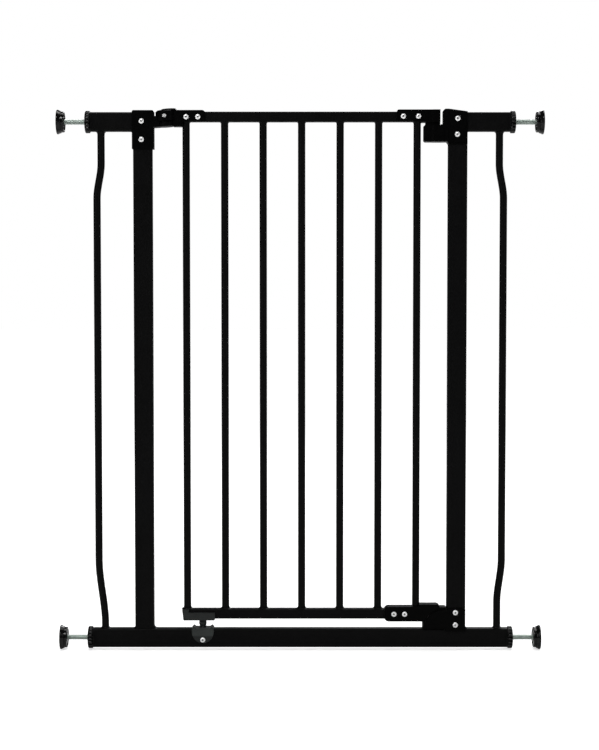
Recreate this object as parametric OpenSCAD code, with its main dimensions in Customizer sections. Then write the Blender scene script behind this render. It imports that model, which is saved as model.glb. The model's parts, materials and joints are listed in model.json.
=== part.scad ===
// Pressure-fit child safety gate: a tubular U-frame held between two walls by four screw
// adjusters, and a barred door that lifts out of two catches and swings on a leaning hinge line.
// Origin: middle of the gate on the level of the lower cups' lowest points. +Z up, +Y through
// the opening, +X towards the latch side. The frame is mirrored about X = 0.

/* [Frame] */
// Distance between the walls, across the outer faces of the wall cups
wall_gap = 726; // [722:1:732]
// Height of the upper adjusters' axis
top_axis_z = 793.75; // [793:0.25:795]
// Visible face of the frame tube
tube_h = 28.5; // [28:0.5:29]
// Front-to-back size of the frame tube
tube_d = 16; // [15.5:0.5:16]
// Wall of every steel tube
tube_wall = 1.2; // [1:0.1:1.5]
// Half the distance between the two uprights' centres
upright_x = 235; // [234.5:0.5:235.5]
// Where the tubes end, from the middle
tube_end_x = 312; // [308:1:314]
// Where the outer bars are welded on, from the middle
outer_bar_x = 297.5; // [294:0.5:300]
// How far the outer bars jog outwards over their middle stretch
outer_jog = 6.5; // [4:0.5:9]
// How far inwards of its place the left outer bar is welded to the bottom rail
left_toe = 2.6; // [0:0.1:4]

/* [Door] */
// Centre-to-centre distance of the door bars
bar_pitch = 57.5; // [57.3:0.1:57.7]
// Diameter of all the round bars
bar_d = 11; // [10:0.5:12]
// Sideways offset of the door's middle bar
door_shift = 2.1; // [2:0.1:2.2]
// Height of the door rails
rail_h = 15; // [14.5:0.5:15]
// Front-to-back size of the door rails
rail_d = 13; // [12.5:0.5:13]
// Underside of the lower door rail
door_low_z = 47.3; // [47:0.1:47.5]
// Top of the upper door rail
door_top_z = 808.7; // [808.5:0.1:809]

/* [Hinge and catches] */
// Sideways place of the lower hinge ball
ball_x = -147.1; // [-147.4:0.1:-146.8]
// Height of the lower hinge ball's centre
ball_z = 36; // [35.9:0.1:36.1]
// Sideways place of the frame's hinge lug
lug_x = -199.7; // [-200:0.1:-199.4]
// Height of the hinge lug's top
lug_z = 794.7; // [794.5:0.1:794.9]
// Diameter of the upper hinge pin
pin_d = 8; // [7:0.5:8]
// How far the door lifts out of its catches
lift = 12; // [11.5:0.5:12]

/* [Adjusters] */
// Outer diameter of a wall cup
cup_d = 36.5; // [35:0.5:37]
// Diameter of the threaded spindle
rod_d = 8; // [8]
// Bare length of spindle between thumb nut and pad
rod_bare = 31.4; // [31:0.1:32]
// Outer diameter of a thumb nut
nut_d = 33.6; // [32:0.2:34]
// Number of finger lobes on a thumb nut
nut_lobes = 18; // [16:1:20]

/* [Hidden] */
$fn = 64;

// gaps: parts at rest on each other, running fits, and screws in their holes
seat_gap = 0.1;
run_gap = 0.06;
screw_gap = 0.05;
far = 2000;

// levels and places worked out from the driving sizes
low_axis_z = cup_d / 2;
rail_top = low_axis_z + tube_h / 2;
stub_low = top_axis_z - tube_h / 2;
frame_top = top_axis_z + tube_h / 2;
upright_in = upright_x - tube_h / 2;
upright_out = upright_x + tube_h / 2;
tube_r = 2.5;
rail_r = 1;
bar_r = bar_d / 2;
door_low_top = door_low_z + rail_h;
door_top_low = door_top_z - rail_h;
first_bar_x = door_shift - 3 * bar_pitch;
last_bar_x = door_shift + 3 * bar_pitch;
door_left = first_bar_x - bar_r;
door_right = last_bar_x + bar_r;

// the hinge line leans in the gate's own plane, from the ball up to the lug
ball_pos = [ball_x, ball_z];
lug_pos = [lug_x, lug_z];
lean = atan2(ball_pos[0] - lug_pos[0], lug_pos[1] - ball_pos[1]);
hinge_len = norm(lug_pos - ball_pos);
ball_r = 6;
shank_r = 4;
shoulder = 8.7;
cup_boss_r = 6.6;
knuckle_r = 15.5;
lug_r = 13;
lug_h = 8;
arm_y = 10;
arm_x = 20.5;
pin_high = 14;
set_screw_in = 13.4;
set_screw_turn = 7;

// depths of the plastic mouldings, measured from the gate's middle plane
frame_cover = 10.5;
door_cover = 9;
tongue_y = 7.2;
prong_y = 6.2;
fold_y = 1.4;

// the upper latch's pocket and tongue, and the lower catch's quarter-round cheeks
fold_x = 197.2;
pocket_left = 184.2;
pocket_low = 764.1;
pocket_floor = 767;
pocket_top = 788.6;
tongue_low = pocket_top + 2.4 - lift;
latch_end = 208.5;
catch_c = [215.3, 33.7];
catch_r = 28;
catch_gap = 0.7;
heel_top = 42.9;

// screws
screw_r = 2;
head_r = 3.8;
head_h = 2.2;
head_rim = 0.9;
dome_h = head_h - head_rim;
dome_r = (head_r * head_r + dome_h * dome_h) / (2 * dome_h);
socket = [3.6, 0.9];
nut_h = 3.2;

// adjusters
bush_flange = 1;
bush_in = 16;
nut_t = 7.8;
pad_in = tube_end_x + bush_flange + nut_t + rod_bare;
pad_out = pad_in + 7.3;
cup_out = wall_gap / 2;
cup_in = cup_out - 6;
rod_in = pad_in - 76;
rod_out = pad_out - 1;

coat = [0.05, 0.05, 0.055];
moulding = [0.02, 0.02, 0.02];
hinge_grey = [0.16, 0.19, 0.18];
zinc = [0.56, 0.62, 0.6];
bright = [0.85, 0.85, 0.86];
gloss = [0.01, 0.01, 0.012];
rubber = [0.08, 0.08, 0.08];
nylon = [0.75, 0.75, 0.72];

// ---- shapes that repeat ----

module rounded_rect(w, h, r) {
    square([w - 2 * r, h], center = true);
    square([w, h - 2 * r], center = true);
    for (x = [-1, 1], y = [-1, 1]) {
        translate([x * (w / 2 - r), y * (h / 2 - r)]) circle(r);
    }
}

// a plate between y0 and y1 whose outline is drawn in X and Z
module facing(y0, y1) {
    translate([0, y1, 0]) rotate([90, 0, 0]) linear_extrude(y1 - y0) children();
}

// a bar between x0 and x1 whose outline is drawn in Y and Z
module along_x(x0, x1) {
    translate([x0, 0, 0]) rotate([90, 0, 90]) linear_extrude(x1 - x0) children();
}

module box_between(low, high) {
    translate(low) cube(high - low);
}

module tube_outline(size, r) {
    difference() {
        rounded_rect(size[0], size[1], r);
        rounded_rect(size[0] - 2 * tube_wall, size[1] - 2 * tube_wall, max(r - tube_wall, 0.3));
    }
}

// an upright and the stub or rail that runs outwards from it, as one filled envelope
module upright_envelope(side, z0) {
    w = tube_h + 2 * seat_gap;
    d = tube_d + 2 * seat_gap;
    translate([side * upright_x - w / 2, -d / 2, z0]) cube([w, d, frame_top + seat_gap - z0]);
}

module stub_envelope(side) {
    d = tube_d + 2 * seat_gap;
    h = tube_h + 2 * seat_gap;
    x0 = side > 0 ? upright_x : -far;
    translate([x0, -d / 2, top_axis_z - h / 2]) cube([far - upright_x, d, h]);
}

module door_rail_envelope(z0, x0, x1) {
    d = rail_d + 2 * seat_gap;
    box_between([x0, -d / 2, z0 - seat_gap], [x1, d / 2, z0 + rail_h + seat_gap]);
}

// local Z runs up the hinge line from the ball's centre
module on_hinge_line() {
    translate([ball_pos[0], 0, ball_pos[1]]) rotate([0, -lean, 0]) children();
}

// local Z points out of the front, away from the gate
module at_front(pos, y) {
    translate([pos[0], -y, pos[1]]) rotate([90, 0, 0]) children();
}

module screw(length) {
    difference() {
        union() {
            translate([0, 0, -length]) cylinder(r = screw_r, h = length + 0.5);
            cylinder(r = head_r, h = head_rim);
            intersection() {
                translate([0, 0, head_rim]) cylinder(r = head_r, h = head_h);
                translate([0, 0, head_h - dome_r]) sphere(dome_r);
            }
        }
        for (a = [0, 90]) {
            rotate(a + 22) translate([-socket[0] / 2, -socket[1] / 2, 0.6]) cube([socket[0], socket[1], head_h]);
        }
        translate([0, 0, 0.6]) cylinder(r1 = 0.7, r2 = 1.3, h = head_h - 0.6);
    }
}

module screw_hole(pos) {
    translate([pos[0], far / 2, pos[1]]) rotate([90, 0, 0]) cylinder(r = screw_r + screw_gap, h = far);
}

// only the front half of the gate is drilled for a screw that bites into a tube's front wall
module front_hole(pos) {
    translate([pos[0], 0, pos[1]]) rotate([90, 0, 0]) cylinder(r = screw_r + screw_gap, h = far);
}

module hex_nut() {
    difference() {
        cylinder(r = 4.04, h = nut_h, $fn = 6);
        translate([0, 0, -1]) cylinder(r = screw_r, h = nut_h + 2);
    }
}

// ---- where the screws are, in X and Z ----

hinge_bracket_at = [[-236.4, 794.4], [-236.4, 767.2]];
latch_top_at = [[234.2, 798.2], [233.7, 774.8]];
latch_bottom_at = [[233.9, 57.4], [233.9, 38.6]];
hinge_block_at = [[-170, 800.8], [-152.4, 800.8]];
door_latch_top_at = [[153.4, 801.7], [175.9, 801.7]];
door_latch_bottom_at = [[141.3, 54.8], [157.4, 54.8]];
hinge_cup_at = [[ball_x, 16]];

// ---- frame: steel ----

module bottom_rail() {
    color(coat) difference() {
        along_x(-tube_end_x, tube_end_x) translate([0, low_axis_z]) tube_outline([tube_d, tube_h], tube_r);
        translate([ball_pos[0], 0, rail_top - 5]) cylinder(r = cup_boss_r + seat_gap, h = 10);
        front_hole(hinge_cup_at[0]);
    }
}

module upright(side, holes) {
    color(coat) difference() {
        translate([side * upright_x, 0, rail_top]) linear_extrude(frame_top - rail_top) {
            tube_outline([tube_h, tube_d], tube_r);
        }
        for (pos = holes) front_hole(pos);
    }
}

module top_stub(side) {
    low = side > 0 ? upright_out : -tube_end_x;
    color(coat) along_x(low, low + tube_end_x - upright_out) {
        translate([0, top_axis_z]) tube_outline([tube_d, tube_h], tube_r);
    }
}

// a straight length of bar between two points in X and Z, stopping just short of both
module bar_length(p, q, thick, short) {
    slant = atan2(q[0] - p[0], q[1] - p[1]);
    translate([p[0], 0, p[1]]) rotate([0, slant, 0]) translate([0, 0, short]) {
        cylinder(r = thick, h = norm(q - p) - 2 * short);
    }
}

// a bar that jogs outwards over its middle stretch, with a small knuckle at each bend
module outer_bar_solid(thick, extra, toe) {
    short = 0.35;
    knuckle = 0.15;
    far_x = outer_bar_x + outer_jog;
    toe_x = outer_bar_x - toe;
    bend_z = toe > 0 ? 45 : 75;
    route = [[toe_x, rail_top - extra - short], [toe_x, bend_z], [far_x, 134], [far_x, 683],
        [outer_bar_x, 729], [outer_bar_x, stub_low + extra + short]];
    for (i = [1 : len(route) - 1]) bar_length(route[i - 1], route[i], thick, short);
    for (i = [1 : len(route) - 2]) translate([route[i][0], 0, route[i][1]]) sphere(thick + knuckle);
}

module outer_bar(side) {
    color(coat) mirror([side > 0 ? 0 : 1, 0, 0]) difference() {
        outer_bar_solid(bar_r, 0, side > 0 ? 0 : left_toe);
        outer_bar_solid(bar_r - tube_wall, 1, side > 0 ? 0 : left_toe);
    }
}

// ---- frame: hinge side ----

module hinge_lug() {
    on_hinge_line() translate([0, 0, hinge_len - lug_h]) {
        cylinder(r = lug_r, h = lug_h);
        translate([-arm_x, -arm_y, 0]) cube([arm_x, 2 * arm_y, lug_h]);
    }
}

// shoulder beside the knuckle, hollowed so that the knuckle turns in it
module hinge_cheek() {
    difference() {
        box_between([-219.7, -frame_cover, 786], [-209.7, frame_cover, 802]);
        on_hinge_line() translate([0, 0, hinge_len + 0.2]) cylinder(r = knuckle_r + 0.5, h = 40);
    }
}

module hinge_bracket() {
    low = 753.4;
    high = frame_top + 2.6;
    left = -upright_out - 1.3;
    right = -upright_in + 2.4;
    color(moulding) difference() {
        union() {
            facing(-frame_cover, frame_cover) {
                translate([left, low]) square([right - left, high - low - 2.4]);
                translate([left + 2.4, low]) square([right - left - 4.8, high - low]);
                translate([left + 2.4, high - 2.4]) circle(2.4);
                translate([right - 2.4, high - 2.4]) circle(2.4);
            }
            hinge_lug();
            hinge_cheek();
        }
        upright_envelope(-1, 700);
        stub_envelope(-1);
        for (pos = hinge_bracket_at) front_hole(pos);
        on_hinge_line() translate([0, 0, hinge_len - 6]) cylinder(d = pin_d, h = 7);
    }
}

module hinge_bracket_screws() {
    color(bright) for (pos = hinge_bracket_at) at_front(pos, frame_cover) screw(9);
}

module hinge_pin_top() {
    color(zinc) on_hinge_line() translate([0, 0, hinge_len - 6]) {
        cylinder(d = pin_d, h = 6 + pin_high - 1);
        translate([0, 0, 6 + pin_high - 1]) cylinder(d1 = pin_d, d2 = pin_d - 2, h = 1);
    }
}

// shield over the rail with a half-round lower edge and two small stops, and the ball's seat
module hinge_cup() {
    half_w = 16.5;
    round_z = 27.7;
    top = rail_top + 1.2;
    color(hinge_grey) difference() {
        union() {
            translate([ball_x, 0, rail_top - 9]) cylinder(r = cup_boss_r, h = 9.5);
            facing(-frame_cover, frame_cover) translate([ball_x, 0]) {
                translate([-half_w, round_z]) square([2 * half_w, top - round_z]);
                intersection() {
                    translate([0, round_z]) circle(half_w);
                    translate([-half_w, 0]) square([2 * half_w, round_z + 1]);
                }
                for (x = [-1, 1]) translate([x * (half_w - 3.1), top - 0.3]) circle(2.2);
            }
        }
        difference() {
            along_x(-far, 0) translate([0, low_axis_z]) {
                square([tube_d + 2 * seat_gap, tube_h + 2 * seat_gap], center = true);
            }
            translate([ball_x, 0, rail_top - 9]) cylinder(r = cup_boss_r, h = 20);
        }
        translate([ball_x, 0, ball_z]) sphere(ball_r + run_gap);
        translate([ball_x, 0, ball_z]) cylinder(r = ball_r + 1, h = 10);
        front_hole(hinge_cup_at[0]);
    }
}

module hinge_cup_screw() {
    color(bright) at_front(hinge_cup_at[0], frame_cover) screw(9);
}

// ---- frame: latch side ----

// from the fold to x1 a moulding is thicker than its cover depth, front and back
module folded(x1, z0, z1, y) {
    translate([0, 0, z0]) linear_extrude(z1 - z0) {
        polygon([[fold_x - 1, -y], [fold_x + 1.2, -y - fold_y], [x1, -y - fold_y], [x1, y + fold_y],
            [fold_x + 1.2, y + fold_y], [fold_x - 1, y]]);
    }
}

module latch_bracket_top() {
    left = upright_in - 7.75;
    right = upright_out - 0.3;
    low = 761;
    high = 812.7;
    color(moulding) difference() {
        union() {
            facing(-frame_cover, frame_cover) {
                polygon([[left, pocket_low], [upright_in - 2, pocket_low], [upright_in, low], [right, low],
                    [right, 808.9], [left + 8, high], [left + 4, high], [left + 4, high - 4],
                    [left, high - 4]]);
                translate([left + 4, high - 4]) circle(4);
                translate([pocket_left + 3, pocket_low]) square([left - pocket_left, pocket_top - pocket_low]);
                translate([pocket_left, pocket_low + 3]) square([4, pocket_top - pocket_low - 4]);
                translate([pocket_left + 3, pocket_low + 3]) circle(3);
                translate([pocket_left + 1.2, pocket_low + 3]) square([4, pocket_top - pocket_low - 3]);
                translate([left - 4, pocket_top - 1]) square([5, 2]);
            }
            folded(left + 1, pocket_low, pocket_top, frame_cover);
            // the raised cover over the screws
            facing(-frame_cover - 1, frame_cover) {
                polygon([[upright_in + 1, low + 2], [right - 2, low + 2], [right - 2, 807.5],
                    [upright_in + 1, 809.5]]);
            }
        }
        upright_envelope(1, 700);
        stub_envelope(1);
        box_between([pocket_left + 1.6, -7.9, pocket_floor], [latch_end + 1, 7.9, far]);
        for (pos = latch_top_at) front_hole(pos);
    }
}

module latch_bracket_top_screws() {
    color(bright) for (pos = latch_top_at) at_front(pos, frame_cover + 1) screw(10);
}

// cheeks with a quarter-round edge, which the door's prong drops between
module latch_bracket_bottom() {
    box_left = upright_in - 3.7;
    top = 63.6;
    heel_left = catch_c[0] - catch_r - 2.4;
    color(moulding) difference() {
        union() {
            facing(-frame_cover, frame_cover) {
                translate([upright_in - 0.3, 28.6]) square([upright_out - upright_in, top - 28.6]);
                translate([box_left, 28.6]) square([10, catch_c[1] + catch_r - 28.6]);
                translate([heel_left, rail_top]) square([20, heel_top - rail_top - 2]);
                translate([heel_left + 2, rail_top]) square([20, heel_top - rail_top]);
                translate([heel_left + 2, heel_top - 2]) circle(2);
            }
            difference() {
                facing(-frame_cover, frame_cover) {
                    intersection() {
                        translate(catch_c) circle(catch_r);
                        translate([catch_c[0] - catch_r, rail_top]) square([catch_r + 3.7, 40]);
                    }
                }
                box_between([180, -prong_y - 0.6, 45], [box_left, prong_y + 0.6, far]);
            }
        }
        upright_envelope(1, 0);
        box_between([0, -tube_d / 2 - seat_gap, 0], [far, tube_d / 2 + seat_gap, rail_top]);
        for (pos = latch_bottom_at) front_hole(pos);
    }
}

module latch_bracket_bottom_screws() {
    color(bright) for (pos = latch_bottom_at) at_front(pos, frame_cover) screw(9);
}

// ---- door ----

module door_rail(z0, holes) {
    color(coat) difference() {
        along_x(door_left, door_right) translate([0, z0 + rail_h / 2]) {
            tube_outline([rail_d, rail_h], rail_r);
        }
        for (pos = holes) screw_hole(pos);
        if (z0 < 100) intersection() {
            on_hinge_line() cylinder(r = 5.3, h = 30);
            box_between([-far, -far, 0], [far, far, z0 + rail_h / 2]);
        }
    }
}

module door_bar(n) {
    color(coat) translate([first_bar_x + (n - 1) * bar_pitch, 0, door_low_top]) difference() {
        cylinder(r = bar_r, h = door_top_low - door_low_top);
        translate([0, 0, -1]) cylinder(r = bar_r - tube_wall, h = far);
    }
}

module hinge_block() {
    low = door_top_low + 1.3;
    high = door_top_z + 2.2;
    right = -141.4;
    color(moulding) difference() {
        union() {
            facing(-door_cover, door_cover) {
                translate([lug_pos[0], low]) square([right - 5 - lug_pos[0], high - low]);
                translate([right - 8, low]) square([8, high - low - 5]);
                translate([right - 5, high - 5]) circle(5);
                translate([lug_pos[0] + 4, 786.7]) square([door_left - 0.3 - lug_pos[0] - 4, 12]);
            }
            on_hinge_line() translate([0, 0, hinge_len + 0.4]) {
                cylinder(r = knuckle_r, h = 14);
                translate([0, 0, 14]) cylinder(r1 = knuckle_r, r2 = knuckle_r - 2.5, h = 2);
                translate([4.5, 0, 15]) cylinder(r1 = 12.8, r2 = 10.8, h = 2.7);
            }
        }
        // room for the lug that the knuckle turns on, and for its pin
        on_hinge_line() translate([0, 0, hinge_len - 30]) cylinder(r = lug_r + 0.5, h = 30.4);
        on_hinge_line() translate([0, 0, hinge_len - 1]) cylinder(d = pin_d + 2 * run_gap, h = pin_high + 1.6);
        door_rail_envelope(door_top_low, door_left, far);
        for (pos = hinge_block_at) screw_hole(pos);
        at_set_screw() {
            cylinder(r = 3.4, h = 10);
            translate([0, 0, -8]) cylinder(r = 1.55, h = 10);
        }
    }
}

// local Z points out of the knuckle's front, from the floor of the set screw's recess
module at_set_screw() {
    on_hinge_line() translate([0, 0, hinge_len + 7.6]) rotate([0, 0, -set_screw_turn]) {
        rotate([90, 0, 0]) translate([0, 0, set_screw_in]) children();
    }
}

module hinge_set_screw() {
    color(bright) at_set_screw() difference() {
        union() {
            translate([0, 0, -7]) cylinder(r = 1.5, h = 8);
            cylinder(r = 3, h = 1);
            translate([0, 0, 1]) cylinder(r1 = 3, r2 = 2.1, h = 0.9);
        }
        for (a = [0, 90]) rotate(a + 30) translate([-1.6, -0.3, 0.8]) cube([3.2, 0.6, 4]);
    }
}

module back_nuts(at) {
    color(bright) for (pos = at) at_front(pos, -door_cover) translate([0, 0, -nut_h]) hex_nut();
}

// channel under the lower rail that stands the door on its ball pin
module door_foot() {
    left = door_left - 2.4;
    color(hinge_grey) difference() {
        union() {
            facing(-door_cover, door_cover) {
                polygon([[left + 2, 45.2], [ball_x + 16.9, 45.2], [ball_x + 18.2, 46.5], [ball_x + 18.2, 56.8],
                    [left + 10, 56.8], [left + 10, 61.6], [left, 61.6]]);
            }
        }
        door_rail_envelope(door_low_z, door_left, 0);
        on_hinge_line() cylinder(r = shank_r + run_gap, h = 30);
        on_hinge_line() translate([0, 0, -10]) cylinder(r = ball_r + 0.6, h = 10 + shoulder + 0.05);
    }
}

module hinge_sleeve() {
    color(nylon) difference() {
        intersection() {
            on_hinge_line() cylinder(r = 5.2, h = 40);
            box_between([-200, -20, door_low_z - 0.05], [-100, 20, door_low_top - tube_wall - 0.05]);
        }
        on_hinge_line() cylinder(r = shank_r + run_gap, h = 60);
    }
}

module hinge_pin_bottom() {
    color(hinge_grey) on_hinge_line() {
        sphere(ball_r);
        cylinder(r = ball_r - 0.15, h = shoulder);
        cylinder(r = shank_r, h = 24);
    }
}

module door_latch_top() {
    low = door_top_low + 1.3;
    high = door_top_z + 3;
    left = 144;
    wide = door_right + 0.3;
    color(moulding) difference() {
        union() {
            facing(-door_cover, door_cover) {
                translate([left + 3, low]) square([door_right + 3 - left, high - low]);
                translate([left, low]) square([6, high - low - 3]);
                translate([left + 3, high - 3]) circle(3);
                translate([wide, low - 2]) square([latch_end - wide, high - low + 2]);
            }
            facing(-tongue_y, tongue_y) {
                translate([pocket_left + 2.6, tongue_low]) square([latch_end - pocket_left - 2.6, 20]);
            }
            folded(latch_end, low - 2, high, door_cover);
        }
        door_rail_envelope(door_top_low, 0, door_right);
        for (pos = door_latch_top_at) screw_hole(pos);
    }
}

module door_latch_bottom() {
    left = 126.7;
    low = 43.6;
    high = 66;
    rest = 3.6;
    end = 211;
    tip = upright_in - 1.4;
    color(moulding) difference() {
        union() {
            facing(-door_cover, door_cover) {
                difference() {
                    union() {
                        translate([left + 7, low]) square([end - 6 - left - 7, high - low]);
                        translate([left, low + 7]) square([8, high - low - 14]);
                        translate([end - 8, low]) square([8, high + rest - 6 - low]);
                        for (z = [low + 7, high - 7]) translate([left + 7, z]) circle(7);
                        // raised thumb rest over the catch
                        translate([door_right - 1, high - 8]) square([end - 5 - door_right, rest + 8]);
                        translate([end - 6, high + rest - 6]) circle(6);
                        translate([end - 9, 62]) square([tip - end + 9, 3.6]);
                    }
                    translate(catch_c) circle(catch_r + catch_gap);
                    translate(catch_c - [catch_r + catch_gap, 12]) square([40, 12]);
                }
            }
            facing(-prong_y, prong_y) {
                translate([door_right + 0.2, 53.5]) square([end - door_right - 0.2, 62 - 53.5]);
            }
        }
        door_rail_envelope(door_low_z, 0, door_right);
        translate([last_bar_x, 0, 50]) cylinder(r = bar_r + seat_gap, h = 40);
        for (pos = door_latch_bottom_at) screw_hole(pos);
    }
}

module bolts(at) {
    color(bright) for (pos = at) at_front(pos, door_cover) screw(door_cover * 2 + nut_h);
}

// ---- adjusters: drawn on the right-hand side, mirrored for the left ----

module on_adjuster(side, z) {
    mirror([side > 0 ? 0 : 1, 0, 0]) translate([0, 0, z]) children();
}

module turned(x0, x1, r) {
    translate([x0, 0, 0]) rotate([0, 90, 0]) cylinder(r = r, h = x1 - x0);
}

module bush(side, z) {
    x0 = tube_end_x - bush_in;
    color(moulding) on_adjuster(side, z) difference() {
        union() {
            along_x(x0, tube_end_x) {
                rounded_rect(tube_d - 2 * tube_wall - 0.2, tube_h - 2 * tube_wall - 0.2, 1.3);
            }
            along_x(tube_end_x, tube_end_x + bush_flange) rounded_rect(tube_d, tube_h, tube_r);
        }
        turned(x0 - 1, far, rod_d / 2 + run_gap);
    }
}

module spindle(side, z) {
    color(zinc) on_adjuster(side, z) {
        turned(rod_in + 1, rod_out, rod_d / 2);
        translate([rod_in, 0, 0]) rotate([0, 90, 0]) cylinder(d1 = rod_d - 2, d2 = rod_d, h = 1);
    }
}

module thumb_nut(side, z) {
    x0 = tube_end_x + bush_flange + 0.1;
    lobe_r = 2;
    color(gloss) on_adjuster(side, z) difference() {
        union() {
            along_x(x0, x0 + nut_t - 0.1) {
                circle(nut_d / 2 - 1.1);
                for (i = [0 : nut_lobes - 1]) {
                    rotate(i * 360 / nut_lobes) translate([nut_d / 2 - lobe_r, 0]) circle(lobe_r);
                }
            }
        }
        turned(x0 - 1, x0 + nut_t + 5, rod_d / 2 + run_gap);
        difference() {
            turned(x0 + nut_t - 1.5, x0 + nut_t + 5, nut_d / 2 - 4);
            turned(x0, x0 + nut_t + 5, 7);
        }
    }
}

module pad(side, z) {
    color(rubber) on_adjuster(side, z) difference() {
        union() {
            turned(pad_in + 0.8, pad_out, 15.5);
            translate([pad_in, 0, 0]) rotate([0, 90, 0]) cylinder(r1 = 14.7, r2 = 15.5, h = 0.8);
        }
        turned(pad_in - 1, rod_out, rod_d / 2);
    }
}

module wall_cup(side, z) {
    rim = 2;
    taper = 1.6;
    color(gloss) on_adjuster(side, z) difference() {
        rotate([0, 90, 0]) union() {
            translate([0, 0, cup_out - rim]) cylinder(d = cup_d, h = rim);
            translate([0, 0, cup_in]) cylinder(r1 = cup_d / 2 - taper, r2 = cup_d / 2, h = cup_out - rim - cup_in);
        }
        turned(cup_in - 1, pad_out, 15.5 + screw_gap);
    }
}

bottom_rail();
upright(-1, hinge_bracket_at);  // left_upright
upright(1, concat(latch_top_at, latch_bottom_at));  // right_upright
top_stub(-1);  // left_top_stub
top_stub(1);  // right_top_stub
outer_bar(-1);  // left_outer_bar
outer_bar(1);  // right_outer_bar
hinge_bracket();
hinge_bracket_screws();
hinge_pin_top();
hinge_cup();
hinge_cup_screw();
latch_bracket_top();
latch_bracket_top_screws();
latch_bracket_bottom();
latch_bracket_bottom_screws();
bush(-1, low_axis_z);  // bush_left_bottom
bush(-1, top_axis_z);  // bush_left_top
bush(1, low_axis_z);  // bush_right_bottom
bush(1, top_axis_z);  // bush_right_top
hinge_pin_bottom();
door_rail(door_top_low, concat(hinge_block_at, door_latch_top_at));  // door_top_rail
door_rail(door_low_z, door_latch_bottom_at);  // door_bottom_rail
door_bar(1);  // door_bar_1
door_bar(2);  // door_bar_2
door_bar(3);  // door_bar_3
door_bar(4);  // door_bar_4
door_bar(5);  // door_bar_5
door_bar(6);  // door_bar_6
door_bar(7);  // door_bar_7
hinge_block();
bolts(hinge_block_at);  // hinge_block_screws
back_nuts(hinge_block_at);  // hinge_block_nuts
hinge_set_screw();
door_foot();
hinge_sleeve();
door_latch_top();
bolts(door_latch_top_at);  // door_latch_top_screws
back_nuts(door_latch_top_at);  // door_latch_top_nuts
door_latch_bottom();
bolts(door_latch_bottom_at);  // door_latch_bottom_screws
back_nuts(door_latch_bottom_at);  // door_latch_bottom_nuts
spindle(-1, low_axis_z);  // spindle_left_bottom
spindle(-1, top_axis_z);  // spindle_left_top
spindle(1, low_axis_z);  // spindle_right_bottom
spindle(1, top_axis_z);  // spindle_right_top
thumb_nut(-1, low_axis_z);  // nut_left_bottom
thumb_nut(-1, top_axis_z);  // nut_left_top
thumb_nut(1, low_axis_z);  // nut_right_bottom
thumb_nut(1, top_axis_z);  // nut_right_top
pad(-1, low_axis_z);  // pad_left_bottom
pad(-1, top_axis_z);  // pad_left_top
pad(1, low_axis_z);  // pad_right_bottom
pad(1, top_axis_z);  // pad_right_top
wall_cup(-1, low_axis_z);  // cup_left_bottom
wall_cup(-1, top_axis_z);  // cup_left_top
wall_cup(1, low_axis_z);  // cup_right_bottom
wall_cup(1, top_axis_z);  // cup_right_top
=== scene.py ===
import json
import math
import random

import bmesh
import bpy
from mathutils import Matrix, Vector


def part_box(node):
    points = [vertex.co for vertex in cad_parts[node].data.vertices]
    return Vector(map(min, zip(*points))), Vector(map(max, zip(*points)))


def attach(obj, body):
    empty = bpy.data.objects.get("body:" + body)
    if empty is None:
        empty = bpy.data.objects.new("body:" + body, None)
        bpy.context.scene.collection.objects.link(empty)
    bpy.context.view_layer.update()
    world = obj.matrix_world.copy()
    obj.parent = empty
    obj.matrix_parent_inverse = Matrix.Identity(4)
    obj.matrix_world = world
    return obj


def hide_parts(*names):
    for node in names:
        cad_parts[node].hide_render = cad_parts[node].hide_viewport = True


# The black pressure-fit safety gate: finishes for the CAD nodes, and finer meshes for the pieces
# whose CAD shapes are plain. Everything is in metres in the CAD frame.

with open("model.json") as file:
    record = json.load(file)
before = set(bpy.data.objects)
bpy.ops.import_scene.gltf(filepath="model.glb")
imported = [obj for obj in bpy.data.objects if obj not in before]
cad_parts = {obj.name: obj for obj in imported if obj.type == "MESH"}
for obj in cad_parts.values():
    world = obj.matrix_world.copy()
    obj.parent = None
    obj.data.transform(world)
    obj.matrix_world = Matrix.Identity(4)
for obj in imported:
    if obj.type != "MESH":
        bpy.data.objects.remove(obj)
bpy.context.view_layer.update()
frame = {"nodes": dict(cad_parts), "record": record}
nodes = frame["nodes"]
scene = bpy.context.scene
random.seed(7)
MM = 0.001
LOBED = True  # third value of a profile row that carries the finger lobes


# ---- camera, light and floor ----

def look_from(target, distance, down_deg, lens):
    """A camera in front of the gate that looks along +Y and slightly down."""
    data = bpy.data.cameras.new("photo_camera")
    data.sensor_fit = "VERTICAL"
    data.sensor_height = 36
    data.lens = lens
    data.clip_end = 60
    camera = bpy.data.objects.new("photo_camera", data)
    scene.collection.objects.link(camera)
    down = math.radians(down_deg)
    camera.location = Vector(target) + Vector((0, -math.cos(down), math.sin(down))) * distance
    camera.rotation_euler = (math.pi / 2 - down, 0, 0)
    scene.camera = camera


def softbox(name, place, target, size, power):
    """A rectangular area light aimed at a target."""
    data = bpy.data.lights.new(name, "AREA")
    data.shape = "RECTANGLE"
    data.size, data.size_y = size
    data.energy = power
    light = bpy.data.objects.new(name, data)
    scene.collection.objects.link(light)
    light.location = place
    light.rotation_euler = (Vector(target) - Vector(place)).to_track_quat("-Z", "Y").to_euler()


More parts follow.
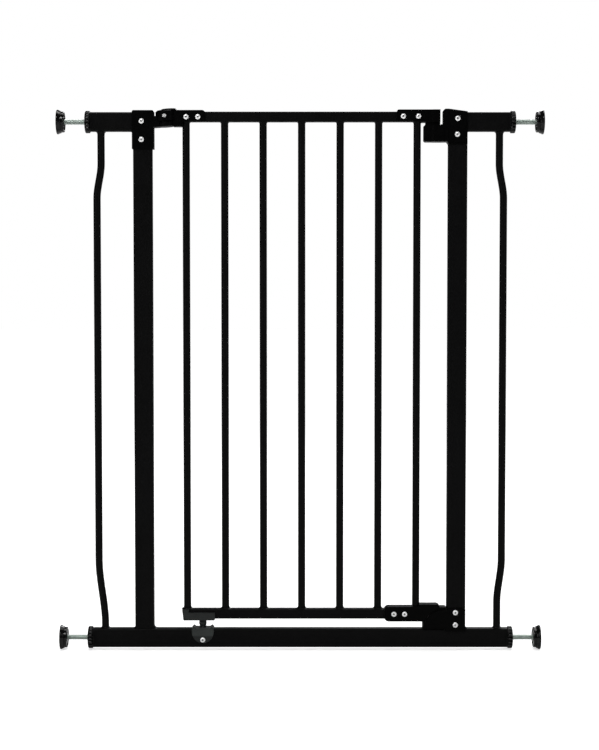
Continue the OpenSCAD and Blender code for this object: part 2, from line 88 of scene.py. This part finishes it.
def white_studio():
    """White to the eye, dim in reflections, as for a dark object shot against a lit paper sweep."""
    world = bpy.data.worlds.new("studio")
    scene.world = world
    world.use_nodes = True
    tree = world.node_tree
    tree.nodes.clear()
    seen = tree.nodes.new("ShaderNodeBackground")
    seen.inputs["Color"].default_value = (1, 1, 1, 1)
    seen.inputs["Strength"].default_value = 1.0
    around = tree.nodes.new("ShaderNodeBackground")
    around.inputs["Color"].default_value = (0.95, 0.97, 1, 1)
    around.inputs["Strength"].default_value = 0.05
    rays = tree.nodes.new("ShaderNodeLightPath")
    mix = tree.nodes.new("ShaderNodeMixShader")
    out = tree.nodes.new("ShaderNodeOutputWorld")
    tree.links.new(rays.outputs["Is Camera Ray"], mix.inputs["Fac"])
    tree.links.new(around.outputs[0], mix.inputs[1])
    tree.links.new(seen.outputs[0], mix.inputs[2])
    tree.links.new(mix.outputs[0], out.inputs["Surface"])
    softbox("front_key", (-0.7, -2.7, 3.3), (0, 0, 0.45), (1.0, 0.7), 70)
    softbox("left_strip", (-2.4, -2.2, 1.3), (0, 0, 0.4), (0.5, 1.8), 12)
    softbox("right_strip", (2.4, -2.0, 1.2), (0, 0, 0.4), (0.5, 1.8), 9)
    softbox("back_top", (0.6, 3.0, 2.2), (0, 0, 0.5), (1.2, 0.9), 30)
    sun_data = bpy.data.lights.new("overhead", "SUN")
    sun_data.energy = 1.6
    sun_data.angle = math.radians(35)
    sun = bpy.data.objects.new("overhead", sun_data)
    scene.collection.objects.link(sun)
    sun.rotation_euler = (math.radians(-14), math.radians(8), 0)


def plain_floor(size):
    """White paper under the gate: bright to the eye, dim in reflections."""
    mesh = bpy.data.meshes.new("floor")
    half = size / 2
    corners = [(-half, -half, 0), (half, -half, 0), (half, half, 0), (-half, half, 0)]
    mesh.from_pydata(corners, [], [(0, 1, 2, 3)])
    floor = bpy.data.objects.new("floor", mesh)
    scene.collection.objects.link(floor)
    material = bpy.data.materials.new("floor_paper")
    material.use_nodes = True
    shader = material.node_tree.nodes["Principled BSDF"]
    shader.inputs["Base Color"].default_value = (0.82, 0.82, 0.82, 1)
    shader.inputs["Roughness"].default_value = 0.9
    shader.inputs["Specular IOR Level"].default_value = 0.1
    shader.inputs["Emission Color"].default_value = (1, 1, 1, 1)
    rays = material.node_tree.nodes.new("ShaderNodeLightPath")
    glow = material.node_tree.nodes.new("ShaderNodeMapRange")
    glow.inputs["To Min"].default_value = 0.06
    glow.inputs["To Max"].default_value = 0.62
    material.node_tree.links.new(rays.outputs["Is Camera Ray"], glow.inputs["Value"])
    material.node_tree.links.new(glow.outputs["Result"], shader.inputs["Emission Strength"])
    mesh.materials.append(material)


# ---- materials ----

class Surface:
    """A Principled material with small helpers that add its procedural detail."""

    def __init__(self, name):
        self.material = bpy.data.materials.new(name)
        self.material.use_nodes = True
        self.tree = self.material.node_tree
        self.shader = self.tree.nodes["Principled BSDF"]
        self.place = self.tree.nodes.new("ShaderNodeTexCoord").outputs["Object"]
        self.height = None

    def set(self, **values):
        for key, value in values.items():
            self.shader.inputs[key.replace("_", " ")].default_value = value

    def link(self, output, socket):
        self.tree.links.new(output, socket)

    def noise(self, scale, detail=3.0, rough=0.55, stretch=None):
        node = self.tree.nodes.new("ShaderNodeTexNoise")
        node.inputs["Scale"].default_value = scale
        node.inputs["Detail"].default_value = detail
        node.inputs["Roughness"].default_value = rough
        source = self.place
        if stretch:
            mapping = self.tree.nodes.new("ShaderNodeMapping")
            mapping.inputs["Scale"].default_value = stretch
            self.link(source, mapping.inputs["Vector"])
            source = mapping.outputs["Vector"]
        self.link(source, node.inputs["Vector"])
        return node.outputs["Fac"]

    def cells(self, scale):
        node = self.tree.nodes.new("ShaderNodeTexVoronoi")
        node.inputs["Scale"].default_value = scale
        self.link(self.place, node.inputs["Vector"])
        return node.outputs["Distance"]

    def ramp(self, value, *stops):
        node = self.tree.nodes.new("ShaderNodeValToRGB")
        self.link(value, node.inputs["Fac"])
        elements = node.color_ramp.elements
        while len(elements) < len(stops):
            elements.new(0.5)
        for element, (position, color) in zip(elements, stops):
            element.position = position
            element.color = (*color, 1)
        return node.outputs["Color"]

    def spread(self, value, low, high):
        """Maps the middle of a noise, 0.3 to 0.7, to a range of values."""
        node = self.tree.nodes.new("ShaderNodeMapRange")
        self.link(value, node.inputs["Value"])
        node.inputs["From Min"].default_value = 0.3
        node.inputs["From Max"].default_value = 0.7
        node.inputs["To Min"].default_value = low
        node.inputs["To Max"].default_value = high
        return node.outputs["Result"]

    def blend(self, factor, first, second):
        node = self.tree.nodes.new("ShaderNodeMix")
        node.data_type = "RGBA"
        self.link(factor, node.inputs["Factor"])
        self.link(first, node.inputs["A"])
        self.link(second, node.inputs["B"])
        return node.outputs["Result"]

    def bump(self, value, distance, strength=1.0):
        node = self.tree.nodes.new("ShaderNodeBump")
        node.inputs["Distance"].default_value = distance
        node.inputs["Strength"].default_value = strength
        self.link(value, node.inputs["Height"])
        if self.height is not None:
            self.link(self.height, node.inputs["Normal"])
        self.height = node.outputs["Normal"]
        self.link(self.height, self.shader.inputs["Normal"])

    def color(self, output):
        self.link(output, self.shader.inputs["Base Color"])

    def roughness(self, output):
        self.link(output, self.shader.inputs["Roughness"])


def grey(value, tint=(1, 1, 1)):
    return tuple(value * part for part in tint)


def powder_coat():
    """Satin black powder coat: orange peel, fine grain and faint cloudy changes of tone."""
    s = Surface("black_powder_coat")
    clouds = s.ramp(s.noise(9, 4), (0.3, grey(0.0018)), (0.75, grey(0.0031, (1, 1, 1.05))))
    specks = s.ramp(s.noise(1500, 2), (0.6, grey(0.002)), (0.78, grey(0.009)))
    s.color(s.blend(s.spread(s.noise(700, 2), 0.0, 0.6), clouds, specks))
    s.roughness(s.spread(s.noise(60, 4), 0.36, 0.47))
    s.set(Specular_IOR_Level=0.055)
    s.bump(s.noise(420, 2, 0.4), 0.00022, 0.55)
    s.bump(s.noise(2300, 2), 0.00005, 0.5)
    return s.material


def moulded_black(name, tone, rough, shine, tint=(1, 1, 1), shade_below_z=None):
    """Injection-moulded plastic with a spark-eroded grain; below a given height the colour is darker, as
    painted shade.
    """
    s = Surface(name)
    base = s.ramp(s.noise(26, 5), (0.3, grey(tone * 0.8, tint)), (0.7, grey(tone * 1.25, tint)))
    worn = tone * 2.6 + 0.003
    scuffs = s.ramp(s.noise(90, 6, 0.7, (1, 1, 0.12)), (0.66, grey(tone, tint)), (0.8, grey(worn, tint)))
    skin = s.blend(s.spread(s.noise(14, 2), 0.0, 0.5), base, scuffs)
    # painted shade: under the given height the plastic's colour is darkened
    if shade_below_z:
        axes = s.tree.nodes.new("ShaderNodeSeparateXYZ")
        s.link(s.place, axes.inputs["Vector"])
        step = s.tree.nodes.new("ShaderNodeMapRange")
        s.link(axes.outputs["Z"], step.inputs["Value"])
        soft_edge = 1.2 * MM
        step.inputs["From Min"].default_value = shade_below_z - soft_edge
        step.inputs["From Max"].default_value = shade_below_z + soft_edge
        below = s.ramp(s.noise(40, 3), (0.3, grey(tone * 0.25, tint)), (0.7, grey(tone * 0.4, tint)))
        skin = s.blend(step.outputs["Result"], below, skin)
    s.color(skin)
    s.roughness(s.spread(s.noise(220, 5), rough - 0.06, rough + 0.08))
    s.set(Specular_IOR_Level=shine)
    s.bump(s.cells(1400), 0.00006, 0.6)
    s.bump(s.noise(3200, 2), 0.00004, 0.5)
    return s.material


def grey_green(name, tone, shade_below_z=None):
    """The lower hinge's satin dark grey-green plastic."""
    return moulded_black(name, tone, 0.38, 0.25, (0.86, 1.0, 0.95), shade_below_z)


def gloss_black():
    """Polished black plastic of the cups and thumb nuts, with hairline scratches."""
    s = Surface("gloss_black_plastic")
    s.color(s.ramp(s.noise(30, 4), (0.3, grey(0.0008)), (0.7, grey(0.002))))
    s.roughness(s.spread(s.noise(400, 5, 0.7, (1, 0.1, 1)), 0.11, 0.26))
    s.set(Specular_IOR_Level=0.2, Coat_Weight=0.08, Coat_Roughness=0.06)
    s.bump(s.noise(900, 4, 0.7, (0.08, 1, 1)), 0.00003, 0.5)
    return s.material


def zinc_plate():
    """Zinc-plated steel: cool grey-green, cloudy passivation and drawn lines along the rod."""
    s = Surface("zinc_plate")
    tones = s.ramp(s.noise(120, 5), (0.3, (0.34, 0.4, 0.37)), (0.7, (0.56, 0.62, 0.58)))
    dull = s.ramp(s.noise(800, 3), (0.4, (0.3, 0.35, 0.32)), (0.7, (0.62, 0.67, 0.63)))
    s.color(s.blend(s.spread(s.noise(300, 3), 0.2, 0.8), tones, dull))
    s.roughness(s.spread(s.noise(500, 4), 0.28, 0.46))
    s.set(Metallic=0.85)
    s.bump(s.noise(1800, 3), 0.00004, 0.6)
    return s.material


def bright_plate():
    """Bright plated screw steel with fine turning marks."""
    s = Surface("bright_plate")
    s.color(s.ramp(s.noise(500, 4), (0.3, grey(0.84)), (0.7, grey(0.96, (1, 1, 0.99)))))
    s.roughness(s.spread(s.noise(1500, 3), 0.26, 0.4))
    s.set(Metallic=0.45)
    s.bump(s.noise(2600, 3, 0.6, (1, 1, 0.2)), 0.00003, 0.6)
    return s.material


def pad_rubber():
    """Matte black rubber with a fine grain."""
    s = Surface("pad_rubber")
    s.color(s.ramp(s.noise(700, 4), (0.3, grey(0.006)), (0.72, grey(0.013))))
    s.roughness(s.spread(s.noise(90, 3), 0.62, 0.78))
    s.set(Specular_IOR_Level=0.3)
    s.bump(s.noise(1700, 3), 0.00008, 0.6)
    return s.material


def painted_recess_shade():
    """Near-black steel colour that paints the shade at the bottom of a driver recess."""
    s = Surface("painted_recess_shade")
    s.color(s.ramp(s.noise(2500, 3), (0.3, grey(0.015)), (0.7, grey(0.06))))
    s.roughness(s.spread(s.noise(900, 3), 0.5, 0.7))
    s.bump(s.noise(3000, 3), 0.00004, 0.5)
    return s.material


def natural_nylon():
    """Off-white nylon of the sleeve round the lower hinge pin."""
    s = Surface("natural_nylon")
    s.color(s.ramp(s.noise(80, 3), (0.3, (0.62, 0.61, 0.56)), (0.7, (0.72, 0.71, 0.67))))
    s.roughness(s.spread(s.noise(300, 3), 0.42, 0.55))
    s.bump(s.noise(1200, 2), 0.00004, 0.5)
    return s.material


finish = {
    "black_coat": powder_coat(),
    "bracket_plastic": moulded_black("moulded_bracket_black", 0.0005, 0.4, 0.04),
    "hinge_grey_plastic": grey_green("moulded_grey_green", 0.014),
    "bush_plastic": moulded_black("moulded_bush_black", 0.003, 0.5, 0.15),
    "zinc_steel": zinc_plate(),
    "screw_steel": bright_plate(),
    "gloss_plastic": gloss_black(),
    "pad_rubber": pad_rubber(),
    "nylon": natural_nylon(),
}
# painted shade for the bottoms of the screws' driver recesses
recess_shade_paint = painted_recess_shade()


# ---- mesh helpers ----

def new_piece(name, vertices, faces, slot, body, material=None):
    """A smooth-shaded mesh that rides on a body and takes its finish from a material slot."""
    mesh = bpy.data.meshes.new(name)
    mesh.from_pydata(vertices, [], faces)
    mesh.validate()
    mesh.materials.append(material or finish[slot])
    mesh.shade_smooth()
    piece = bpy.data.objects.new(name, mesh)
    scene.collection.objects.link(piece)
    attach(piece, body)
    return piece


def outward(piece):
    """Turns every face of a closed mesh outwards."""
    work = bmesh.new()
    work.from_mesh(piece.data)
    bmesh.ops.recalc_face_normals(work, faces=work.faces)
    work.to_mesh(piece.data)
    work.free()


def crisp(piece, degrees=38):
    """Keeps edges sharper than the angle as creases in the shading."""
    piece.data.set_sharp_from_angle(angle=math.radians(degrees))


def ring_faces(rows, columns):
    """Quads over a closed loop of closed rows, as on a ring."""
    faces = []
    for i in range(rows):
        a = i * columns
        b = (i + 1) % rows * columns
        for j in range(columns):
            k = (j + 1) % columns
            faces.append((a + j, a + k, b + k, b + j))
    return faces


def tube_faces(rows, columns):
    """Quads over an open run of closed rows, with a cap at each end."""
    last = (rows - 1) * columns
    faces = [face for face in ring_faces(rows, columns) if max(face) - min(face) < 2 * columns]
    return faces + [tuple(range(columns)), tuple(range(last, last + columns))]


def angles(count):
    """Evenly spaced angles of a full turn."""
    return [2 * math.pi * j / count for j in range(count)]


def adjuster_place(node):
    """Side, inner end, outer end, axis height and radius of a round piece on an adjuster's axis."""
    low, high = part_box(node)
    side = 1 if low[0] > 0 else -1
    ends = sorted((abs(low[0]), abs(high[0])))
    return side, ends[0], ends[1], (low[2] + high[2]) / 2, (high[2] - low[2]) / 2


def turned_ring(name, profile, side, z, slot, body, count=96, lobes=0, depth=0.0):
    """A ring turned about an adjuster's axis; profile rows marked LOBED carry the finger lobes."""
    points = []
    for x, r, *lobed in profile:
        for a in angles(count):
            reach = r - depth * (0.5 - 0.5 * math.cos(lobes * a)) ** 2 if lobed else r
            points.append((side * x, reach * math.cos(a), z + reach * math.sin(a)))
    piece = new_piece(name, points, ring_faces(len(profile), count), slot, body)
    outward(piece)
    crisp(piece)
    return piece


def body_of(node):
    """The body that a CAD node rides on."""
    return next(name for name, members in frame["record"]["behaviour"]["bodies"].items() if node in members)


# ---- adjusters ----

def threaded_rod(node):
    """The M8 spindle with its thread cut as a helix."""
    side, x_in, x_out, z, r = adjuster_place(node)
    pitch = 1.25 * MM
    root = 0.62 * MM
    steps = 20
    # share of the pitch, depth below the crest
    profile = ((0.0, 0.0), (0.16, 0.0), (0.5, root), (0.66, root))
    overrun = 1.5
    turns = int((x_out - x_in) / pitch) + int(2 * overrun)
    points = []
    for turn in range(turns):
        for part, sunk in profile:
            for j in range(steps):
                a = 2 * math.pi * j / steps
                x = x_in + pitch * (turn - overrun + part + j / steps)
                points.append((side * x, (r - sunk) * math.cos(a), z + (r - sunk) * math.sin(a)))
    rows = turns * len(profile)
    faces = []
    for i in range(rows - len(profile) - 1):
        for j in range(steps):
            wrap = 0 if j < steps - 1 else len(profile)
            k = (j + 1) % steps
            here = i * steps
            there = (i + wrap) * steps
            faces.append((here + j, there + k, there + steps + k, here + steps + j))
    rod = new_piece(node + "_thread", points, faces, "zinc_steel", body_of(node))
    # both ends are cut flat and closed
    work = bmesh.new()
    work.from_mesh(rod.data)
    for x, keep in ((x_in, 1), (x_out, -1)):
        everything = work.verts[:] + work.edges[:] + work.faces[:]
        cut = bmesh.ops.bisect_plane(work, geom=everything, dist=1e-7, plane_co=(side * x, 0, z),
                                     plane_no=(side * keep, 0, 0), clear_inner=True)
        edges = [e for e in cut["geom_cut"] if isinstance(e, bmesh.types.BMEdge)]
        bmesh.ops.holes_fill(work, edges=edges, sides=0)
    bmesh.ops.delete(work, geom=[v for v in work.verts if not v.link_faces], context="VERTS")
    bmesh.ops.recalc_face_normals(work, faces=work.faces)
    work.to_mesh(rod.data)
    work.free()
    crisp(rod, degrees=24)
    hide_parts(node)


def finger_nut(node):
    """Thumb nut with rounded finger lobes, a dished outer face and a hub round the thread."""
    side, x_in, x_out, z, r = adjuster_place(node)
    soft = 0.9 * MM
    bore = 4.08 * MM
    hub = 7 * MM
    dish = r - 4 * MM
    sunk = 1.5 * MM
    profile = [
        (x_in, bore), (x_in, r - 2.6 * MM), (x_in + 0.25 * MM, r - 1.3 * MM, LOBED),
        (x_in + soft, r - 0.2 * MM, LOBED), (x_in + 1.5 * soft, r, LOBED), (x_out - 1.5 * soft, r, LOBED),
        (x_out - soft, r - 0.2 * MM, LOBED), (x_out - 0.25 * MM, r - 1.1 * MM, LOBED),
        (x_out, r - 2.6 * MM), (x_out, dish), (x_out - sunk, dish - 0.7 * MM),
        (x_out - sunk, hub + 0.5 * MM), (x_out - 0.3 * MM, hub), (x_out, hub - 0.4 * MM),
        (x_out, bore)]
    nut = turned_ring(node + "_lobed", profile, side, z, "gloss_plastic", body_of(node),
                      count=216, lobes=18, depth=2.1 * MM)
    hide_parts(node)


def wall_cup(node):
    """Wall cup: a flared skirt, a bead at its rim and a shallow recess towards the wall."""
    side, x_in, x_out, z, r = adjuster_place(node)
    bore = 15.56 * MM
    axis = 0.02 * MM
    floor = x_in + 2.5 * MM
    recess = x_out - 0.9 * MM
    profile = [
        (x_in, bore), (x_in, r - 1.9 * MM), (x_in + 0.3 * MM, r - 1.65 * MM),
        (x_in + 2.2 * MM, r - 1.15 * MM), (x_in + 3.4 * MM, r - 0.5 * MM),
        (x_in + 4.2 * MM, r - 0.1 * MM), (x_out - 1.2 * MM, r),
        (x_out - 0.5 * MM, r - 0.05 * MM), (x_out, r - 0.5 * MM),
        (x_out, r - 2.0 * MM), (recess, r - 2.5 * MM), (recess, 3 * MM),
        (x_out - 1.1 * MM, axis), (floor, axis), (floor, bore)]
    cup = turned_ring(node + "_flared", profile, side, z, "gloss_plastic", body_of(node))
    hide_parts(node)


def cup_pad(node):
    """Pad, rubber on the real gate and given the gloss plastic finish here: rounded shoulder, two grooves
    round it and a dished face round the spindle.
    """
    side, x_in, x_out, z, r = adjuster_place(node)
    bore = 4.02 * MM
    skin = r - 0.02 * MM
    groove = r - 0.4 * MM
    profile = [
        (x_in + 0.2 * MM, bore), (x_in, 4.6 * MM), (x_in, 6.6 * MM),
        (x_in + 1.0 * MM, 7.4 * MM), (x_in + 1.0 * MM, r - 3.2 * MM),
        (x_in, r - 2.4 * MM), (x_in, r - 1.0 * MM), (x_in + 0.35 * MM, r - 0.35 * MM),
        (x_in + 1.0 * MM, skin), (x_in + 1.9 * MM, skin),
        (x_in + 2.1 * MM, groove), (x_in + 2.5 * MM, groove),
        (x_in + 2.7 * MM, skin), (x_in + 3.7 * MM, skin),
        (x_in + 3.9 * MM, groove), (x_in + 4.3 * MM, groove),
        (x_in + 4.5 * MM, skin), (x_out - 0.2 * MM, skin),
        (x_out - 0.1 * MM, bore)]
    pad = turned_ring(node + "_grooved", profile, side, z, "gloss_plastic", body_of(node))
    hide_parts(node)


# ---- lower hinge pin ----

def ball_pin(node):
    """Ball-ended pin on the leaning hinge line: ball, waist, rounded collar and shank."""
    joint = frame["record"]["behaviour"]["joints"][0]
    centre = Vector(joint["pos_m"])
    up = Vector(joint["axis"]).normalized()
    across = Vector((0, 1, 0))
    side = up.cross(across)
    # height above the ball's centre and radius, in millimetres
    profile = [
        (-6.0, 0.02), (-5.75, 1.7), (-5.2, 2.95), (-4.4, 4.05), (-3.4, 4.92), (-2.7, 5.2), (-2.2, 4.8),
        (-1.5, 4.45), (-0.5, 4.5), (0.8, 4.9), (2.2, 5.4), (3.6, 5.7), (5.0, 5.75), (6.4, 5.55), (7.6, 5.2),
        (8.3, 4.95), (8.65, 4.6), (8.65, 4.0), (23.4, 4.0), (24.0, 3.4), (24.0, 0.02)]
    count = 48
    points = []
    for h, r in profile:
        for a in angles(count):
            points.append(tuple(centre + up * h * MM + (across * math.cos(a) + side * math.sin(a)) * r * MM))
    faces = tube_faces(len(profile), count)
    pin = new_piece(node + "_turned", points, faces, "hinge_grey_plastic", "hinge_swivel")
    outward(pin)
    crisp(pin)
    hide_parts(node)


# ---- screws ----

def head_centres(node):
    """Middle of each screw's head in X and Z, and the Y of its crown."""
    near = 8 * MM
    groups = []
    for vertex in nodes[node].data.vertices:
        place = nodes[node].matrix_world @ vertex.co
        home = next((g for g in groups
                     if abs(g[0].x - place.x) < near and abs(g[0].z - place.z) < near), None)
        if home:
            home.append(place)
        else:
            groups.append([place])
    middles = []
    for group in groups:
        xs, ys, zs = ([p[k] for p in group] for k in range(3))
        middles.append(((min(xs) + max(xs)) / 2, min(ys), (min(zs) + max(zs)) / 2))
    return middles


def screw_recesses(node, body):
    """Dark cross of painted shade in the bottom of each head's driver recess, where light doesn't reach."""
    count = 96
    arm_long = 1.72
    arm_half = 0.41
    middle = 0.93
    tiny = 1e-6
    cross_turn = math.radians(22)
    for n, (x, y, z) in enumerate(head_centres(node), 1):
        points = []
        for depth in (0.7 * MM, 1.5 * MM):
            for a in angles(count):
                arms = [min(arm_long / max(abs(math.cos(t)), tiny), arm_half / max(abs(math.sin(t)), tiny))
                        for t in (a, a + math.pi / 2)]
                reach = max(*arms, middle - 0.1 * depth / MM) * MM
                turn = a + cross_turn
                points.append((x + reach * math.cos(turn), y + depth, z + reach * math.sin(turn)))
        faces = [(j, (j + 1) % count, count + (j + 1) % count, count + j) for j in range(count)]
        faces += [tuple(range(count)), tuple(range(count, 2 * count))]
        # each cross piece is painted shade sitting in the recess
        piece = new_piece(f"{node}_recess_{n}", points, faces, "screw_steel", body, recess_shade_paint)
        outward(piece)
        crisp(piece)


# ---- outer bars and welds ----

def outer_bar(node):
    """Round bar with smooth bends, swept along the CAD bar's route."""
    low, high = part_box(node)
    side = 1 if low[0] > 0 else -1
    inside = 0.15 * MM
    jog = 6.5 * MM
    r = high[1] - inside
    far_x = max(abs(low[0]), abs(high[0])) - r - inside
    low_x = min(abs(low[0]), abs(high[0])) + r
    top_x = far_x - jog
    # a foot that is set in further has the longer lower bend, which starts nearer to the rail
    set_in = low_x < top_x - MM
    low_bend = ((38 if set_in else 72) * MM, 137 * MM)
    top_bend = (732 * MM, 680 * MM)
    count = 28
    bend_steps = 14

    def eased(z, start, end):
        t = min(max((z - start) / (end - start), 0), 1)
        return t * t * (3 - 2 * t)

    def reach(z):
        low_jog = (far_x - low_x) * (1 - eased(z, *low_bend))
        top_jog = (far_x - top_x) * (1 - eased(z, *top_bend))
        return far_x - low_jog - top_jog

    levels = [low[2], low_bend[0]]
    levels += [low_bend[0] + (low_bend[1] - low_bend[0]) * i / bend_steps for i in range(1, bend_steps + 1)]
    levels += [top_bend[1] + (top_bend[0] - top_bend[1]) * i / bend_steps for i in range(bend_steps + 1)]
    levels.append(high[2])
    points = []
    for z in levels:
        slope = (reach(z + 0.5 * MM) - reach(z - 0.5 * MM)) / MM
        tilt = math.atan(slope) * (1 if levels[0] < z < levels[-1] else 0)
        for a in angles(count):
            across = r * math.cos(a)
            x = reach(z) + across * math.cos(tilt)
            points.append((side * x, r * math.sin(a), z - across * math.sin(tilt)))
    bar = new_piece(node + "_bent", points, tube_faces(len(levels), count), "black_coat", "frame")
    outward(bar)
    crisp(bar, degrees=50)
    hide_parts(node)
    return side, low_x, top_x, r


def weld_ring(name, x, z, up, r, wide, deep, tall, body):
    """A concave weld bead round a bar, with the ripples of a hand-laid weld."""
    count = 56
    arc = 7
    sunk = 0.35 * MM
    phase = random.uniform(0, 6.28)
    points = []
    for i in range(arc + 3):
        a = math.pi / 2 * min(i, arc) / arc
        for turn in angles(count):
            flare = (wide * abs(math.cos(turn)) ** 1.5 + deep * abs(math.sin(turn)))
            flare *= 1 + 0.07 * math.sin(9 * turn + phase) + 0.04 * math.sin(23 * turn + 2 * phase)
            out = r + flare * (1 - math.sin(a))
            height = tall * (1 - math.cos(a))
            if i > arc:
                out = r - sunk
                height = tall if i == arc + 1 else -sunk
            points.append((x + out * math.cos(turn), out * math.sin(turn), z + up * height))
    piece = new_piece(name, points, ring_faces(arc + 3, count), "black_coat", body)
    outward(piece)
    crisp(piece, degrees=60)


def weld_fillet(name, x, z, along, up, size, half_y):
    """A concave fillet weld across the tube, where an upright meets a rail or a stub."""
    arc = 8
    rows = 25
    sunk = 0.4 * MM
    phase = random.uniform(0, 6.28)
    points = []
    for i in range(rows):
        y = half_y * (2 * i / (rows - 1) - 1)
        grow = 1 + 0.06 * math.sin(i * 1.7 + phase)
        for k in range(arc + 1):
            a = math.pi / 2 * k / arc
            dx = size * grow * (1 - math.sin(a)) - (sunk if k == arc else 0)
            dz = size * grow * (1 - math.cos(a)) - (sunk if k == 0 else 0)
            points.append((x + along * dx, y, z + up * dz))
        points.append((x - along * sunk, y, z - up * sunk))
    piece = new_piece(name, points, tube_faces(rows, arc + 2), "black_coat", "frame")
    outward(piece)
    crisp(piece, degrees=50)


def door_welds():
    """A bead at both ends of each door bar: where it starts, its direction, width and height."""
    ends = (("low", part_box("door_bottom_rail")[1][2], 1, 4.1 * MM, 4.4 * MM),
            ("top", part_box("door_top_rail")[0][2], -1, 2.8 * MM, 2.8 * MM))
    deep = 0.85 * MM
    for n in range(1, 8):
        low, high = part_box(f"door_bar_{n}")
        x = (low[0] + high[0]) / 2
        for end, z, up, wide, tall in ends:
            weld_ring(f"door_weld_{end}_{n}", x, z, up, high[1], wide, deep, tall, "door")


def frame_welds(bars):
    """Beads round the outer bars' ends and fillets where uprights, rail and stubs meet."""
    deep = 2.0 * MM
    rail_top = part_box("bottom_rail")[1][2]
    half_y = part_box("bottom_rail")[1][1] - 2.2 * MM
    stub_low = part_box("left_top_stub")[0][2]
    for side, low_x, top_x, r in bars:
        label = "left" if side < 0 else "right"
        weld_ring(f"{label}_bar_weld_low", side * low_x, rail_top, 1, r, 3.4 * MM, deep, 3.6 * MM, "frame")
        weld_ring(f"{label}_bar_weld_top", side * top_x, stub_low, -1, r, 3.6 * MM, deep, 4.2 * MM, "frame")
        low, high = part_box(f"{label}_upright")
        outer = low[0] if side < 0 else high[0]
        stub_size = (4.8 if side < 0 else 2.2) * MM
        weld_fillet(f"{label}_upright_weld_outer", outer, rail_top, side, 1, 3.8 * MM, half_y)
        weld_fillet(f"{label}_stub_weld", outer, stub_low, side, -1, stub_size, half_y)
    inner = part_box("left_upright")[1][0]
    weld_fillet("left_upright_weld_inner", inner, rail_top, 1, 1, 4.6 * MM, half_y)


# ---- finishes and softened edges of the CAD nodes ----

for name, node in nodes.items():
    slot_name = next(row["material_slot"] for row in frame["record"]["subparts"] if row["node"] == name)
    node.data.materials.clear()
    node.data.materials.append(finish[slot_name])


def soften(name, width):
    """Small radii on a moulding's edges, as a mould leaves them."""
    node = nodes[name]
    weld = node.modifiers.new("join_corners", "WELD")
    weld.merge_threshold = 0.00001
    planar = node.modifiers.new("merge_flats", "DECIMATE")
    planar.decimate_type = "DISSOLVE"
    planar.angle_limit = math.radians(0.6)
    bevel = node.modifiers.new("edge_radius", "BEVEL")
    bevel.width = width
    bevel.segments = 2
    bevel.limit_method = "ANGLE"
    bevel.angle_limit = math.radians(40)
    bevel.harden_normals = True


mouldings = ("hinge_bracket", "latch_bracket_top", "latch_bracket_bottom", "hinge_block",
             "door_latch_top", "door_latch_bottom", "hinge_cup", "door_foot")
for moulding in mouldings:
    soften(moulding, 0.5 * MM)

for corner in ("left_bottom", "left_top", "right_bottom", "right_top"):
    threaded_rod("spindle_" + corner)
    finger_nut("nut_" + corner)
    wall_cup("cup_" + corner)
    cup_pad("pad_" + corner)
# painted shade: the hinge cup's colour is darker below this height
cup_shade_top = 21.8 * MM
nodes["hinge_cup"].data.materials[0] = grey_green("moulded_grey_green_cup", 0.03, cup_shade_top)
ball_pin("hinge_pin_bottom")
screw_sets = ("hinge_bracket_screws", "hinge_cup_screw", "latch_bracket_top_screws",
              "latch_bracket_bottom_screws", "hinge_block_screws", "door_latch_top_screws",
              "door_latch_bottom_screws")
for screws in screw_sets:
    screw_recesses(screws, body_of(screws))
door_welds()
frame_welds([outer_bar("left_outer_bar"), outer_bar("right_outer_bar")])

look_from(target=(-0.0011, 0, 0.4158), distance=2.6, down_deg=2.9, lens=83)
scene.view_settings.view_transform = "Standard"
white_studio()
plain_floor(size=40)
